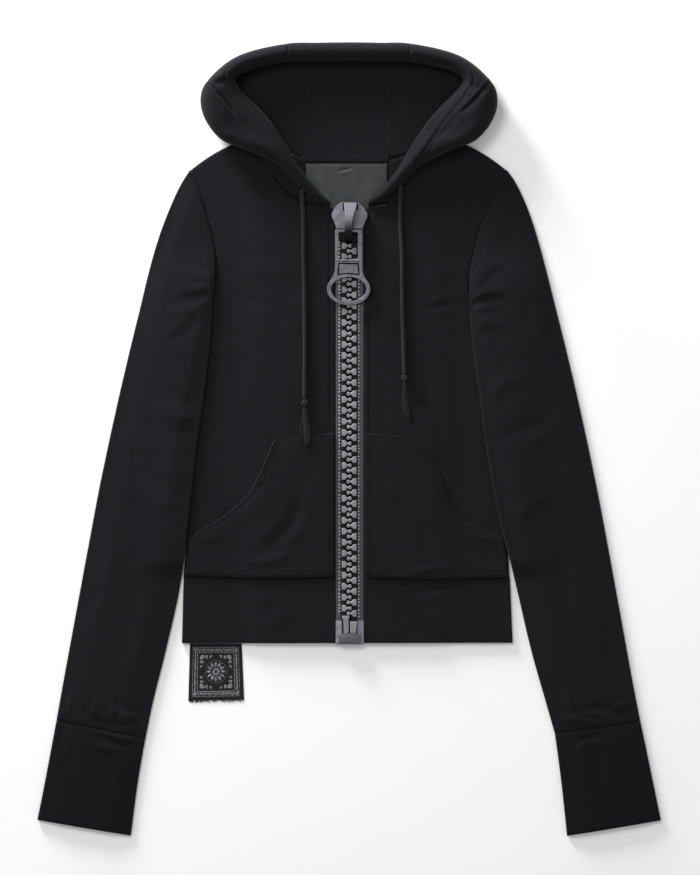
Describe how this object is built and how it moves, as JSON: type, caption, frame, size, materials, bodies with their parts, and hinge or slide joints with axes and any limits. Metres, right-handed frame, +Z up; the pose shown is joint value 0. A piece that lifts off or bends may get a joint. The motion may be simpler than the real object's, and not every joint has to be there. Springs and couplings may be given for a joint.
{
  "type": "zip up hoodie",
  "caption": "Cropped slim zip up hoodie laid flat, with an oversized moulded zip, extra-long cuffs, kangaroo pockets, a panelled hood and free drawcords.",
  "frame": {"origin": "centre of the garment's outline, on the surface it lies on", "axes": "+X across to the picture's right, +Y from hem to hood, +Z up from the surface"},
  "size_m": [0.7776, 0.9889, 0.0352],
  "materials": {
    "fleece": "matte black jersey fleece with a fine nap",
    "patch_cloth": "smooth grey facing cloth",
    "label_cloth": "woven black label ground with pale ornament",
    "tape": "grey woven zip tape",
    "teeth": "moulded grey teeth",
    "slider_metal": "satin grey cast slider and tab",
    "cord": "black braided cord"
  },
  "bodies": {
    "garment": {"back_panel": "fleece", "hem_band": "fleece", "front_left": "fleece", "pocket_left": "fleece", "sleeve_left": "fleece", "cuff_left": "fleece", "front_right": "fleece", "pocket_right": "fleece", "sleeve_right": "fleece", "cuff_right": "fleece", "hood_left": "fleece", "hood_centre": "fleece", "hood_right": "fleece", "neck_tape": "fleece", "neck_patch": "patch_cloth", "hem_label": "label_cloth", "zip_tape_left": "tape", "zip_chain_left": "teeth", "zip_stop_left": "teeth", "zip_tape_right": "tape", "zip_chain_right": "teeth", "zip_stop_right": "teeth", "zip_box": "teeth", "zip_slider": "slider_metal", "cord_left": "cord", "knot_left": "cord", "tail_left": "cord", "cord_right": "cord", "knot_right": "cord", "tail_right": "cord"},
    "pull": {"zip_pull": "slider_metal"}
  },
  "joints": [
    {"name": "pull_swing", "type": "hinge", "parent": "garment", "child": "pull", "pos_m": [0, 0.2603, 0.0156], "axis": [-1, 0, 0], "range_deg": [0, 150]}
  ]
}
